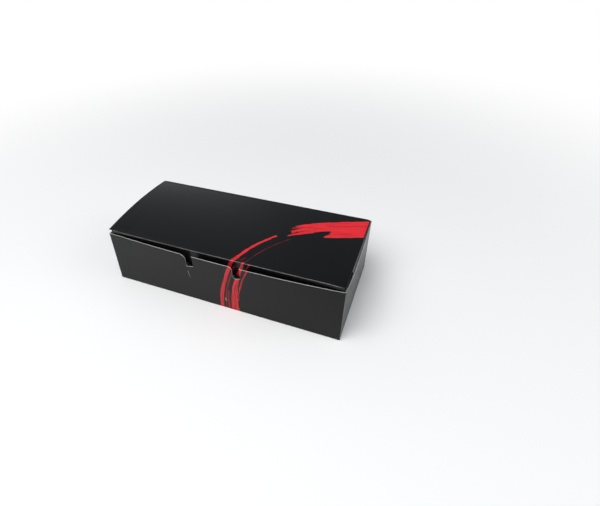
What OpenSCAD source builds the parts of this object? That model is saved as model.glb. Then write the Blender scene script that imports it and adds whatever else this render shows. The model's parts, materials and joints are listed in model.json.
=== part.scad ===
// Takeaway box folded from one sheet of board: an open tray and a hinged lid
// with a tuck flap and two side flaps. Millimetres, +Z up, the front faces -Y.
// The origin is the middle of the footprint, on the surface the box stands on.

/* [Box] */
// Outside length of the tray, along X
box_l = 155; // [120:1:220]
// Outside width of the tray, along Y
box_w = 70; // [55:1:110]
// Height of the front and back walls
wall_h = 39; // [30:0.5:60]
// How much lower the end walls are than the front wall
end_drop = 0.6; // [0.4:0.1:2]

/* [Board] */
// Thickness of the board
board_t = 0.45; // [0.3:0.05:0.6]
// Outer radius of every fold
fold_r = 0.9; // [0.7:0.1:1.4]

/* [Bowed walls] */
// How far the front wall's top edge bows out at mid-length
front_bow = 2.9; // [0:0.1:5]
// How far the end walls' top edges bow out at mid-width
end_bow = 1.3; // [1.2:0.1:3]
// How fast the bow grows up the wall, where 1 is a straight lean
bow_rise = 1.5; // [1:0.1:2.5]

/* [Glue flaps] */
// Length of the four glue flaps inside the end walls
glue_l = 13; // [8:1:20]
// How far the glue flaps stay below the wall's top edge
glue_drop = 7; // [5:0.5:12]
// Taper of the glue flaps' upper and lower edges, in degrees
glue_taper = 12; // [5:1:20]

/* [Notches] */
// Width of the two notches in the front wall
notch_w = 4.9; // [4:0.1:7]
// Depth of the notches at their left side
notch_h = 9.6; // [6:0.1:14]
// Rise of the notches' lower edge from left to right
notch_rise = 1; // [0:0.1:2]
// Right side of the first notch, from mid-length
notch_1_x = -14.9; // [-40:0.1:-10]
// Right side of the second notch, from mid-length
notch_2_x = 16.4; // [10:0.1:40]
// Radius of the first notch's shoulder
shoulder_1_r = 3.6; // [1:0.1:5]
// Radius of the second notch's shoulder
shoulder_2_r = 1.8; // [1:0.1:5]
// Radius at the foot of the second notch's slanted side
foot_2_r = 2.6; // [0.5:0.1:3.5]

/* [Lid] */
// Angle that the closed lid stays raised by
lid_raise = 2.2; // [1.5:0.1:6]
// How far the lid's front edge stays inside the front wall's outer face
lid_inset = 0.3; // [0.2:0.1:1]
// How much shorter the lid is than the tray
lid_short = 0.4; // [0.3:0.1:2]
// Height of the arch at the lid's left end
lid_arch = 2; // [0:0.1:3]
// How fast the arch fades towards the right end
arch_fade = 1.5; // [1:0.1:3]

/* [Lid flaps] */
// Length of the tuck flap below its fold
tuck_h = 12.5; // [8:0.5:18]
// Lean of the tuck flap into the tray, in degrees
tuck_lean = 12; // [9:0.5:16]
// How far the tuck flap stays short of the lid's left end
tuck_left = 2.4; // [1.5:0.1:6]
// How far the tuck flap stays short of the lid's right end
tuck_right = 1; // [0.8:0.1:6]
// Radius of the tuck flap's lower corners
tuck_corner_r = 5; // [2:0.5:7]
// Taper of the tuck flap's two ends, in degrees
tuck_taper = 8; // [0:1:15]
// Depth of the side flaps below their folds
side_h = 15; // [8:0.5:20]
// Lean of the side flaps into the tray, in degrees
side_lean = 8; // [7:0.5:14]
// Gap from the lid's front edge to the side flaps
side_front = 15; // [12:0.5:25]
// Gap from the lid's hinge line to the side flaps
side_back = 5.3; // [5:0.1:15]
// Taper of the side flaps' front ends, in degrees
side_front_taper = 15; // [5:1:30]
// Taper of the side flaps' back ends, in degrees
side_back_taper = 42; // [35:1:50]

/* [Print] */
// Thickness of the ink film
ink_t = 0.05; // [0.03:0.01:0.1]
// Centre of the brush arc, to the right of mid-length
arc_x = 90; // [70:1:110]
// Centre of the brush arc, in front of the tray's middle on the unfolded sheet
arc_front = 75; // [60:1:90]
// Radius of the brush arc
arc_r = 89; // [75:1:100]
// Width of the brush arc's loaded stroke
brush_w = 20; // [14:0.5:24]

/* [Hidden] */
$fn = 48;

black = "#1d1d20";
red = "#d42a38";

half_l = box_l / 2;
half_w = box_w / 2;
end_h = wall_h - end_drop;

// Gap under the lid's back edge, where the real sheet runs on through the fold
hinge_gap = 0.2;
hinge_y = half_w - board_t / 2;
hinge_z = wall_h + hinge_gap + board_t / 2;

// Glued faces bite this deep, so the folded sheet is one solid
bond = 0.05;
// Flat strip along the panel's front and back edges, where its folds are joined on
flat_edge = 0.4;
// Cutters reach this far past what they cut
past = 1;

glue_x = half_l - board_t + bond;
front_half = glue_x - fold_r;

lid_half = half_l - lid_short / 2;
lid_reach = hinge_y + half_w - lid_inset;
panel_l = lid_reach - fold_r;

wall_rows = 7;
wall_spans = 28;
fold_steps = 4;

// Share of a bow at s, from none at the corners to all in the middle
function along(s, half) = 1 - pow(s / half, 2);
// Share of a bow at height z
function up(z) = pow(max(0, z - fold_r) / (wall_h - fold_r), bow_rise);
function mix(a, b, t) = a + (b - a) * t;
function quad(a, b, c, d) = [[a, b, c], [a, c, d]];
function arc(c, r, from, to, n) = [for (i = [0 : n]) let (a = mix(from, to, i / n))
    [c[0] + r * cos(a), c[1] + r * sin(a)]];

// Closed sheet over nu by nv cells. point(i, j, k) gives its outer face for k = 0
// and its inner face for k = 1, with i to the right and j up, seen from outside.
module sheet(nu, nv, point) {
    face = (nu + 1) * (nv + 1);
    function id(i, j, k) = k * face + j * (nu + 1) + i;
    points = [for (k = [0, 1], j = [0 : nv], i = [0 : nu]) point(i, j, k)];
    skins = [for (j = [0 : nv - 1], i = [0 : nu - 1]) each concat(
        quad(id(i, j, 0), id(i, j + 1, 0), id(i + 1, j + 1, 0), id(i + 1, j, 0)),
        quad(id(i, j, 1), id(i + 1, j, 1), id(i + 1, j + 1, 1), id(i, j + 1, 1)))];
    rims = [for (i = [0 : nu - 1]) each concat(
        quad(id(i, 0, 0), id(i + 1, 0, 0), id(i + 1, 0, 1), id(i, 0, 1)),
        quad(id(i, nv, 0), id(i, nv, 1), id(i + 1, nv, 1), id(i + 1, nv, 0)))];
    ends = [for (j = [0 : nv - 1]) each concat(
        quad(id(0, j, 0), id(0, j, 1), id(0, j + 1, 1), id(0, j + 1, 0)),
        quad(id(nu, j, 0), id(nu, j + 1, 0), id(nu, j + 1, 1), id(nu, j, 1)))];
    polyhedron(points, concat(skins, rims, ends));
}

// Upright wall through stations of [position, outward normal, bow, z range].
// skin is how far its outer and inner faces stand out from the stations.
module upright(stations, skin) {
    point = function(i, j, k) let (s = stations[i], z = mix(s[3][0], s[3][1], j / wall_rows),
        out = s[2] * up(z) + skin[k]) [s[0][0] + s[1][0] * out, s[0][1] + s[1][1] * out, z];
    sheet(len(stations) - 1, wall_rows, point);
}

function flip_x(s) = [[-s[0][0], s[0][1]], [-s[1][0], s[1][1]], s[2], s[3]];
function reversed(v) = [for (i = [len(v) - 1 : -1 : 0]) v[i]];

// Right half of a long wall: its corner fold and the glue flap behind the end wall
function corner_stations() = let (full = [fold_r, wall_h], n = 4) concat(
    [for (p = arc([0, 0], 1, -90, 0, fold_steps))
        [[front_half, fold_r - half_w] + fold_r * p, p, 0, full]],
    [for (i = [1 : n]) let (d = mix(board_t, glue_l, (i - 1) / (n - 1)), y = d + fold_r - half_w,
        taper = d * tan(glue_taper))
        [[glue_x, y], [1, 0], end_bow * along(y, half_w),
            [full[0] + board_t + taper, full[1] - glue_drop - taper]]]);

// Whole long wall between its two glue flaps, bowed by this much at mid-length
function long_wall_stations(bow) = let (right = corner_stations()) concat(
    reversed([for (s = right) flip_x(s)]),
    [for (i = [1 : wall_spans - 1]) let (x = front_half * (2 * i / wall_spans - 1))
        [[x, -half_w], [0, -1], bow * along(x, front_half), [fold_r, wall_h]]],
    right);

// Outline of a notch, with a round shoulder on its left side
function notch_outline(x, shoulder_r, foot_r) = let (left = x - notch_w, floor_z = wall_h - notch_h)
    concat(
        [[x, floor_z + notch_rise], [x, wall_h + past], [left - shoulder_r, wall_h + past]],
        reversed(arc([left - shoulder_r, wall_h - shoulder_r], shoulder_r, 0, 90, 8)),
        arc([left + foot_r, floor_z + foot_r], foot_r, 180, 255, 8));

module notches() {
    reach = front_bow + board_t + past;
    for (n = [[notch_1_x, shoulder_1_r, board_t], [notch_2_x, shoulder_2_r, foot_2_r]])
        translate([0, board_t + past - half_w, 0]) rotate([90, 0, 0])
            linear_extrude(reach + board_t + past) polygon(notch_outline(n[0], n[1], n[2]));
}

// Quarter fold along the bottom of a wall, from the floor panel up
module bottom_fold(length) {
    rotate([90, 0, 90]) linear_extrude(length, center = true) intersection() {
        difference() {
            circle(fold_r);
            circle(fold_r - board_t);
        }
        translate([-fold_r, -fold_r]) square(fold_r);
    }
}

module floor_panel() {
    translate([fold_r - half_l, fold_r - half_w, 0])
        cube([box_l - 2 * fold_r, box_w - 2 * fold_r, board_t]);
}

module long_wall(bow) {
    upright(long_wall_stations(bow), [0, -board_t]);
    translate([0, fold_r - half_w, fold_r]) bottom_fold(2 * front_half);
}

module end_wall() {
    spans = 12;
    reach = half_w - board_t;
    stations = [for (i = [0 : spans]) let (y = reach * (2 * i / spans - 1))
        [[half_l, y], [1, 0], end_bow * along(y, half_w), [fold_r, end_h]]];
    upright(stations, [0, -board_t]);
    translate([half_l - fold_r, 0, fold_r]) rotate(90) bottom_fold(box_w - 2 * fold_r);
}

// The tray: one sheet folded into a floor and four walls, its corners glued
module tray() {
    color(black) {
        floor_panel();
        difference() {
            long_wall(front_bow);
            notches();
        }
        rotate(180) long_wall(0);
        for (side = [0, 1]) mirror([side, 0, 0]) end_wall();
    }
}

// Height of the lid's arch over its flat panel, from the hinge at y = 0
function arch(x, y) = lid_arch * pow(max(0, min(1, (lid_half - x) / (2 * lid_half))), arch_fade)
    * max(0, along(y + panel_l / 2, panel_l / 2 - flat_edge));

// Section of the lid along X: right side flap, fold and panel edge, from the bottom up
function side_section() = let (c = [lid_half - fold_r, board_t / 2 - fold_r], foot = -side_lean,
    root = [c[0] + fold_r * cos(foot), c[1] + fold_r * sin(foot)]) concat(
    [[root - side_h * [sin(side_lean), cos(side_lean)], [cos(foot), sin(foot)]]],
    [for (p = arc([0, 0], 1, foot, 90, fold_steps + 1)) [c + fold_r * p, p]]);

// The same section from flap to flap, left to right
function lid_section() = let (right = side_section(), n = 22, flat = lid_half - fold_r) concat(
    [for (s = right) [[-s[0][0], s[0][1]], [-s[1][0], s[1][1]]]],
    [for (i = [1 : n - 1]) [[flat * (2 * i / n - 1), board_t / 2], [0, 1]]],
    reversed(right));

// Half thickness of the lid at y, thinner where its back edge rounds over at the hinge
function lid_half_t(y) = y <= 0 ? board_t / 2 : sqrt(pow(board_t / 2, 2) - y * y);

// Panel and side flaps before they are cut out. skin gives both faces from the outer face.
module lid_blank(skin) {
    section = lid_section();
    rows = 14;
    nose = board_t / 2;
    depths = concat([-panel_l], [for (j = [0 : rows]) mix(flat_edge - panel_l, -flat_edge, j / rows)],
        [0, 0.6 * nose, 0.9 * nose]);
    point = function(i, j, k) let (s = section[i], y = depths[j],
        out = skin[k] * lid_half_t(y) / nose + lid_half_t(y) - nose)
        [s[0][0] + s[1][0] * out, y, s[0][1] + s[1][1] * out + arch(s[0][0], y)];
    sheet(len(section) - 1, len(depths) - 1, point);
}

// What is cut away in front of and behind each side flap
module side_flap_cuts() {
    front_y = side_front - lid_reach;
    edge = lid_half - board_t;
    deep = side_h + fold_r + past;
    for (side = [0, 1]) mirror([side, 0, 0])
        for (p = [[front_y, -lid_reach - past, side_front_taper], [-side_back, past, -side_back_taper]])
            translate([edge - side_h, 0, 0]) rotate([90, 0, 90]) {
                linear_extrude(side_h + board_t + past)
                    polygon([[p[0], -board_t / 2], [p[1], -board_t / 2], [p[1], -deep],
                        [p[0] + deep * tan(p[2]), -deep]]);
                translate([0, 0, side_h]) linear_extrude(board_t + past)
                    polygon([[p[0], lid_arch + past], [p[1], lid_arch + past], [p[1], -board_t],
                        [p[0], -board_t]]);
            }
}

// Section of the tuck flap and its fold, drawn with x towards the front and y up.
// skin gives both faces from the outer face.
module tuck_section(skin) {
    outer = fold_r + skin[0];
    inner = fold_r + skin[1];
    far = 2 * outer;
    translate([panel_l, board_t / 2 - fold_r]) {
        intersection() {
            difference() {
                circle(outer);
                circle(inner);
            }
            polygon([[0, 0], [0, far], [far, far], [far, -far * tan(tuck_lean)]]);
        }
        rotate(-tuck_lean) translate([inner, -tuck_h]) square([outer - inner, tuck_h]);
        translate([-flat_edge, inner]) square([flat_edge, outer - inner]);
    }
}

// Outline of the tuck flap seen from the front, with round lower corners
function tuck_outline() = let (r = tuck_corner_r, bottom = board_t / 2 - fold_r - tuck_h * cos(tuck_lean),
    slant = (-bottom - r) * tan(tuck_taper), left = tuck_left - lid_half, right = lid_half - tuck_right)
    concat([[left, past], [right, past], [right, 0]],
        arc([right - slant - r, bottom + r], r, -tuck_taper, -90, 8),
        arc([left + slant + r, bottom + r], r, -90, tuck_taper - 180, 8),
        [[left, 0]]);

module tuck_flap(skin) {
    intersection() {
        rotate([90, 0, -90]) linear_extrude(box_l, center = true) tuck_section(skin);
        rotate([90, 0, 0]) linear_extrude(lid_reach + past) polygon(tuck_outline());
    }
}

// Places the flat lid on its hinge line, raised as it rests
module on_hinge() {
    translate([0, hinge_y, hinge_z]) rotate([-lid_raise, 0, 0]) children();
}

// The lid: its panel with two side flaps, and the tuck flap along its front edge
module lid() {
    color(black) on_hinge() {
        difference() {
            lid_blank([0, -board_t]);
            side_flap_cuts();
        }
        tuck_flap([0, -board_t]);
    }
}

// One hair of the brush, from angle a0 to a1 about the arc's centre. Its distance out
// from the arc and its width go from the first value to the second, in brush widths.
module strand(a0, a1, out, widths) {
    n = 16;
    edge = function(t, side) let (a = mix(a0, a1, t),
        r = arc_r + brush_w * (mix(out[0], out[1], t) + side * mix(widths[0], widths[1], t) / 2))
        [arc_x + r * cos(a), r * sin(a) - arc_front];
    polygon(concat([for (i = [0 : n]) edge(i / n, 1)], [for (i = [n : -1 : 0]) edge(i / n, -1)]));
}

// The brush arc on the sheet laid flat, with the tray's middle at the origin:
// one loaded stroke, its torn tips, and the thin strands that it breaks into
module brush_arc() {
    strand(94, 112.5, [0.51, 0.42], [0.96, 0.91]);
    strand(111, 114.6, [0.06, -0.01], [0.32, 0.12]);
    strand(111, 122.5, [0.6, 0.46], [0.58, 0.48]);
    strand(119, 124.3, [0.68, 0.59], [0.21, 0.08]);
    strand(119, 125.2, [0.46, 0.41], [0.2, 0.07]);
    strand(118, 127.4, [0.28, 0.18], [0.16, 0.05]);
    strand(131.2, 150, [0.31, 0.015], [0.08, 0.105]);
    strand(149.8, 182, [0.015, 0], [0.105, 0.15]);
    strand(127.5, 151, [0.01, -0.35], [0.025, 0.03]);
    strand(156, 173, [-0.14, -0.195], [0.03, 0.03]);
    strand(168, 182, [-0.17, -0.23], [0.04, 0.17]);
    strand(150, 168, [-0.29, -0.4], [0.065, 0.18]);
    strand(166, 182, [-0.41, -0.47], [0.17, 0.34]);
    strand(149.5, 170, [-0.48, -0.56], [0.045, 0.035]);
}

// Ink on the front wall, where the arc runs on from the lid
module front_print() {
    color(red) difference() {
        intersection() {
            upright(long_wall_stations(front_bow), [ink_t, 0]);
            translate([0, -half_w, wall_h + half_w]) rotate([90, 0, 0])
                translate([0, 0, -past]) linear_extrude(front_bow + 2 * past) brush_arc();
        }
        notches();
    }
}

// Ink on the lid's panel, over its front fold and down the tuck flap
module lid_print() {
    color(red) on_hinge() {
        intersection() {
            difference() {
                lid_blank([ink_t, 0]);
                side_flap_cuts();
            }
            translate([0, -hinge_y, -board_t]) linear_extrude(lid_arch + board_t + past)
                intersection() {
                    brush_arc();
                    translate([-half_l, fold_r + lid_inset - half_w])
                        square([box_l, box_w]);
                }
        }
        intersection() {
            tuck_flap([ink_t, 0]);
            translate([0, 0, half_w - lid_inset + board_t / 2]) rotate([90, 0, 0])
                linear_extrude(box_w + past) brush_arc();
        }
    }
}

tray();
front_print();
lid();
lid_print();
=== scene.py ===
"""Sushi box: the looks of a folded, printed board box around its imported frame."""
import json
import logging
import math
from dataclasses import dataclass, field
from enum import Enum
from typing import Callable, Sequence

import bpy
import numpy as np
from mathutils import Matrix, Vector
from mathutils.geometry import delaunay_2d_cdt


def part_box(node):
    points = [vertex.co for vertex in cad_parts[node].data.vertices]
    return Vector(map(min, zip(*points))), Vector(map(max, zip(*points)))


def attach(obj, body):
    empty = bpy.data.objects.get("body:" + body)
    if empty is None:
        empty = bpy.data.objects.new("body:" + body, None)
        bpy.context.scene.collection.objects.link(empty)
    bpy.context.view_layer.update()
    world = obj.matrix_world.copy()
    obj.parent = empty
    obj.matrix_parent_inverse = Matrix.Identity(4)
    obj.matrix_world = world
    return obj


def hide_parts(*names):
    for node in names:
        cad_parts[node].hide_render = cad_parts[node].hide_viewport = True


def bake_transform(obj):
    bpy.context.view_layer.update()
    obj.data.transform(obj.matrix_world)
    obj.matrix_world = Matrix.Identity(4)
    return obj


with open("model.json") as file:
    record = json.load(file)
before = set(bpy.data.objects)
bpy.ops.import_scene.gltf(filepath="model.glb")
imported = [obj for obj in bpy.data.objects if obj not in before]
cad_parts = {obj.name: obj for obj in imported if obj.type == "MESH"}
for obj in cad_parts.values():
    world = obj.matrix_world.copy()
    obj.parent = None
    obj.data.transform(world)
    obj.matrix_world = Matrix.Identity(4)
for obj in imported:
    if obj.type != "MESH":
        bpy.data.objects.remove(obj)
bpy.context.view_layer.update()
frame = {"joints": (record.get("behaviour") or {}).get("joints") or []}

logging.basicConfig(level=logging.INFO, format="%(message)s")
log = logging.getLogger("sushi_box")

MM = 0.001
# One unit of the print coordinates, and a place far from the print, in metres
PRINT_UNIT = 0.1
OFF_PRINT = -10.0
PHOTO_SIZE = (600, 506)
BOX_L = 155 * MM
# How far the lid reaches past the box's ends, stops short of its front and stands up
LID_PAST = 0.15 * MM
LID_SHORT = 0.3 * MM
LID_RAISE = math.radians(2.2)
# How far the back fold stops short of the corner folds
FOLD_SHORT = 0.3 * MM
# Grid lines no further apart than this count as one
LINE_GAP = 0.04 * MM
# How far a fold's wear and painted highlight reach from its middle, as a share of the fold's length
CREST_REACH = 0.75
# How dark the mottle makes a colour
MOTTLE_SHADE = 0.7
# How soft the edge of the ink is, in print millimetres
INK_EDGE = 0.1

Point = tuple[float, float]
Colour = tuple[float, float, float]
Fold = Callable[[float, float, float], Vector]
Node = bpy.types.Node
Socket = bpy.types.NodeSocket
Tree = bpy.types.NodeTree
Sockets = dict[str, Socket]


class Face(Enum):
    """Which side of the board a face of a mesh shows."""

    PRINTED = 0
    BARE = 1
    CUT = 2


def srgb(red: int, green: int, blue: int) -> Colour:
    """Returns the linear colour of an 8-bit one.

    Args:
        red: red, 0 to 255.
        green: green, 0 to 255.
        blue: blue, 0 to 255.

    Returns:
        The three linear values.
    """
    def linear(value: int) -> float:
        """Returns one channel, made linear."""
        share = value / 255
        return share / 12.92 if share <= 0.04045 else ((share + 0.055) / 1.055) ** 2.4

    return linear(red), linear(green), linear(blue)


def mix(a: float, b: float, share: float) -> float:
    """Returns the value that lies this share of the way from a to b."""
    return a + (b - a) * share


def spaced(start: float, end: float, step: float) -> list[float]:
    """Returns evenly spaced values from start to end, no more than step apart."""
    count = max(1, math.ceil(abs(end - start) / step - 1e-9))
    return [mix(start, end, i / count) for i in range(count + 1)]


def arc(centre: Point, radius: float, start: float, end: float, count: int = 8) -> list[Point]:
    """Returns points on a circle.

    Args:
        centre: the circle's centre.
        radius: its radius.
        start: the first point's angle, in degrees.
        end: the last point's angle, in degrees.
        count: how many steps lie between them.

    Returns:
        The points in order.
    """
    angles = [math.radians(mix(start, end, i / count)) for i in range(count + 1)]
    return [(centre[0] + radius * math.cos(a), centre[1] + radius * math.sin(a)) for a in angles]


@dataclass(frozen=True)
class Board:
    """The board's own sizes, in metres."""

    thick: float = 0.45 * MM
    fold_r: float = 0.6 * MM

    @property
    def arc_l(self) -> float:
        """Length of a right-angled fold along its outer face."""
        return self.fold_r * math.pi / 2


@dataclass(frozen=True)
class TraySizes:
    """Sizes of the tray, in metres, with the outer ones taken from the frame."""

    half_l: float
    half_w: float
    wall_h: float
    front_bow: float
    end_bow: float
    end_drop: float = 0.6 * MM
    bow_rise: float = 1.5
    # Where along the end walls their bow is fullest
    bow_y: float = -12 * MM
    # How far the left and right corners lean out at the top
    lean: tuple[float, float] = (0.5 * MM, 0.3 * MM)
    # How far the front wall's top edge dips towards its right end, and where most
    dip_h: float = 0.3 * MM
    dip_x: float = 45 * MM
    # Where it starts to dip again towards its left end, and over what length
    left_dip_x: float = 60 * MM
    left_dip_l: float = 17 * MM
    glue_l: float = 13 * MM
    glue_drop: float = 7 * MM
    glue_taper: float = math.radians(12)
    notch_w: float = 4.9 * MM
    notch_h: float = 9.6 * MM
    notch_rise: float = 1 * MM
    notch_x: tuple[float, float] = (-14.9 * MM, 16.4 * MM)
    shoulder_r: tuple[float, float] = (3.6 * MM, 1.8 * MM)
    foot_r: tuple[float, float] = (0.45 * MM, 2.6 * MM)


@dataclass(frozen=True)
class LidSizes:
    """Sizes of the lid, in metres."""

    half: float
    reach: float
    arch_h: float = 1.98 * MM
    arch_fade: float = 1.5
    flat_edge: float = 0.9 * MM
    # How far the front edge sags, where most, and how far that is from its end
    sag_h: float = 0.9 * MM
    sag_x: float = -30 * MM
    sag_half: float = 107 * MM
    # How far past the left end the sag starts, over what length it grows, and the
    # share of the panel behind it that stays flat
    sag_past: float = 6 * MM
    sag_rise: float = 20 * MM
    sag_back: float = 0.3
    # How far the front right corner droops, and over what length
    droop_h: float = 0.45 * MM
    droop_l: float = 14 * MM
    tuck_h: float = 12.5 * MM
    tuck_lean: float = math.radians(12)
    tuck_left: float = 2.4 * MM
    tuck_right: float = 1 * MM
    tuck_corner_r: float = 5 * MM
    tuck_taper: float = math.radians(8)
    side_h: float = 15 * MM
    side_front: float = 16.2 * MM
    side_back: float = 5.3 * MM
    side_front_taper: float = math.radians(15)
    side_back_taper: float = math.radians(42)


class Graph:
    """Adds nodes to one tree and links them."""

    def __init__(self, tree: Tree) -> None:
        """Keeps the tree that the nodes go into."""
        self.tree = tree
        self.count = 0

    def node(self, kind: str, inputs: dict[str | int, object] | None = None,
             **settings: object) -> Node:
        """Adds a node.

        Args:
            kind: the node's type name.
            inputs: a value or a socket to link, for each input's name or number.
            settings: values of the node's own properties.

        Returns:
            The new node.
        """
        new = self.tree.nodes.new(kind)
        self.count += 1
        new.location = (180 * (self.count % 12), -220 * (self.count // 12))
        for name, value in settings.items():
            setattr(new, name, value)
        for name, value in (inputs or {}).items():
            self.feed(new.inputs[name], value)
        return new

    def feed(self, socket: Socket, value: object) -> None:
        """Links a socket to another one, or sets its value.

        Args:
            socket: the input socket.
            value: a socket to link to it, or a plain value.
        """
        if isinstance(value, Socket):
            self.tree.links.new(value, socket)
        else:
            socket.default_value = value

    def math(self, operation: str, a: object, b: object = 0.0, clamp: bool = False) -> Socket:
        """Returns the result of a Math node on a and b."""
        new = self.node("ShaderNodeMath", {0: a, 1: b}, operation=operation, use_clamp=clamp)
        return new.outputs[0]

    def plus(self, a: object, b: object) -> Socket:
        """Returns a plus b."""
        return self.math("ADD", a, b)

    def minus(self, a: object, b: object) -> Socket:
        """Returns a minus b."""
        return self.math("SUBTRACT", a, b)

    def times(self, a: object, b: object) -> Socket:
        """Returns a times b."""
        return self.math("MULTIPLY", a, b)

    def blend(self, share: object, a: object, b: object) -> Socket:
        """Returns the value that lies a share of the way from a to b."""
        new = self.node("ShaderNodeMix", {"Factor": share, 2: a, 3: b}, data_type="FLOAT")
        return new.outputs[0]

    def tint(self, share: object, a: object, b: object) -> Socket:
        """Returns the colour that lies a share of the way from a to b."""
        new = self.node("ShaderNodeMix", {0: share, 6: a, 7: b}, data_type="RGBA")
        return new.outputs[2]

    def vector(self, operation: str, a: object, b: object = (0.0, 0.0, 0.0)) -> Node:
        """Returns a Vector Math node on a and b."""
        return self.node("ShaderNodeVectorMath", {0: a, 1: b}, operation=operation)

    def ramp(self, value: object, low: float, high: float,
             out: tuple[float, float] = (0.0, 1.0)) -> Socket:
        """Returns a value mapped from low..high to out, smoothly and clamped.

        Args:
            value: what is mapped.
            low: the value that gives the first of out.
            high: the value that gives the second.
            out: the results at low and at high.

        Returns:
            The mapped value.
        """
        new = self.node("ShaderNodeMapRange", {"Value": value, "From Min": low, "From Max": high,
            "To Min": out[0], "To Max": out[1]}, interpolation_type="SMOOTHSTEP", clamp=True)
        return new.outputs[0]

    def noise(self, vector: object, scale: float, detail: float = 2.0, rough: float = 0.5) -> Socket:
        """Returns a noise value from 0 to 1 at the vector.

        Args:
            vector: the place.
            scale: how many grains fit into a unit.
            detail: how many finer layers it has.
            rough: how strong they are.

        Returns:
            The noise, from 0 to 1.
        """
        new = self.node("ShaderNodeTexNoise", {"Vector": vector, "Scale": scale, "Detail": detail,
            "Roughness": rough})
        return new.outputs["Fac"]

    def edge(self, value: object) -> Socket:
        """Returns 0 below a value of 0 and 1 above it, with the softness of an ink's edge."""
        return self.ramp(value, -INK_EDGE, INK_EDGE)

    def scaled(self, vector: object, scale: object) -> Socket:
        """Returns the vector, scaled."""
        return self.node("ShaderNodeVectorMath", {0: vector, "Scale": scale}, operation="SCALE").outputs[0]

    def group(self, tree: Tree, inputs: dict[str, object]) -> Node:
        """Returns a new node for a shader group, with its inputs fed."""
        return self.node("ShaderNodeGroup", inputs, node_tree=tree)


def node_group(name: str, inputs: dict[str, tuple[str, object]], outputs: dict[str, str],
               build: Callable[[Graph, Node], Sockets],
               kind: str = "ShaderNodeTree") -> Tree:
    """Makes a node group.

    Args:
        name: the group's name.
        inputs: each input's socket type and default value, by name.
        outputs: each output's socket type, by name.
        build: adds the nodes and returns the socket for each output.
        kind: the type of tree.

    Returns:
        The group's tree.
    """
    tree = bpy.data.node_groups.new(name, kind)
    for label, (socket_type, value) in inputs.items():
        socket = tree.interface.new_socket(name=label, in_out="INPUT", socket_type=socket_type)
        if value is not None:
            socket.default_value = value
    for label, socket_type in outputs.items():
        tree.interface.new_socket(name=label, in_out="OUTPUT", socket_type=socket_type)
    graph = Graph(tree)
    entry = graph.node("NodeGroupInput")
    exits = graph.node("NodeGroupOutput")
    for label, socket in build(graph, entry).items():
        tree.links.new(socket, exits.inputs[label])
    return tree


def board_grain(graph: Graph, entry: Node) -> Sockets:
    """Adds the grain of pressed board: fine tooth, mottle and slow waves.

    Args:
        graph: the group's graph.
        entry: its input node, with Vector, Tooth, Waves.

    Returns:
        Height for a bump in millimetres, and Mottle from 0 to 1.
    """
    vector = entry.outputs["Vector"]
    tooth = graph.times(graph.noise(vector, 3200, 3, 0.6), entry.outputs["Tooth"])
    waves = graph.times(graph.noise(vector, 28, 1, 0.4), entry.outputs["Waves"])
    mottle = graph.ramp(graph.noise(vector, 260, 4, 0.62), 0.3, 0.7)
    return {"Height": graph.plus(tooth, waves), "Mottle": mottle}


def brush_strand(graph: Graph, entry: Node) -> Sockets:
    """Adds one strand of a brush stroke that runs along an arc.

    Args:
        graph: the group's graph.
        entry: its input node, with the polar place, the strand's ends, radii and
            widths, and the bristle value that frays it.

    Returns:
        Mask, the ink's strength.
    """
    get = entry.outputs
    run = graph.minus(get["To"], get["From"])
    share = graph.math("DIVIDE", graph.minus(get["Angle"], get["From"]), run)
    along = graph.math("MAXIMUM", graph.math("MINIMUM", share, 1.0), 0.0)
    middle = graph.blend(along, get["Radius from"], get["Radius to"])
    half = graph.times(graph.blend(along, get["Width from"], get["Width to"]), 0.5)
    off = graph.math("ABSOLUTE", graph.minus(get["Radius"], middle))
    fray = graph.times(graph.minus(get["Bristle"], 0.5),
        graph.blend(along, get["Fray from"], get["Fray to"]))
    inside = graph.plus(graph.minus(half, off), fray)
    tail = graph.times(graph.minus(get["Bristle"], 0.5), get["Tail"])
    start = graph.minus(get["Angle"], graph.minus(get["From"], tail))
    stop = graph.minus(graph.plus(get["To"], tail), get["Angle"])
    ends = graph.math("MINIMUM", graph.edge(start), graph.edge(stop))
    dry = graph.times(get["Dry"], graph.plus(graph.times(along, 0.75), 0.25))
    wet = graph.ramp(graph.minus(get["Hairs"], dry), -0.05, 0.05)
    whole = graph.times(graph.times(graph.edge(inside), ends), wet)
    return {"Mask": graph.times(whole, get["Ink"])}


def arc_place(graph: Graph, entry: Node) -> Sockets:
    """Adds the polar place of a point on the sheet about the brush arc's centre.

    Args:
        graph: the group's graph.
        entry: its input node, with Vector in print units, and the centre and the
            place where the ink stops in millimetres.

    Returns:
        Radius in millimetres, Angle in degrees, Bristle and Hairs from 0 to 1, and
        Within, 1 where the sheet may take ink.
    """
    get = entry.outputs
    parts = graph.node("ShaderNodeSeparateXYZ", {0: get["Vector"]})
    scale = PRINT_UNIT / MM
    along = graph.times(parts.outputs[0], scale)
    within = graph.edge(graph.minus(get["Stop"], along))
    across = graph.minus(along, get["Centre X"])
    up = graph.minus(graph.times(parts.outputs[1], scale), get["Centre Y"])
    square = graph.plus(graph.times(across, across), graph.times(up, up))
    radius = graph.math("SQRT", square)
    angle = graph.math("DEGREES", graph.math("ARCTAN2", up, across))

    def streaks(fine: float, long: float, detail: float) -> Socket:
        """Returns noise drawn out along the arc.

        Args:
            fine: how fine it is across the arc.
            long: how fine it is along the arc.
            detail: how many finer layers it has.

        Returns:
            The noise, from 0 to 1.
        """
        place = graph.node("ShaderNodeCombineXYZ", {0: graph.times(radius, fine),
            1: graph.times(angle, long)})
        return graph.ramp(graph.noise(place.outputs[0], 1.0, detail, 0.55), 0.28, 0.72)

    bristle = graph.blend(0.4, streaks(1.7, 0.12, 2), streaks(0.5, 0.05, 1))
    return {"Radius": radius, "Angle": angle, "Bristle": bristle, "Hairs": streaks(3.6, 0.07, 3),
        "Within": within}


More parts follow.
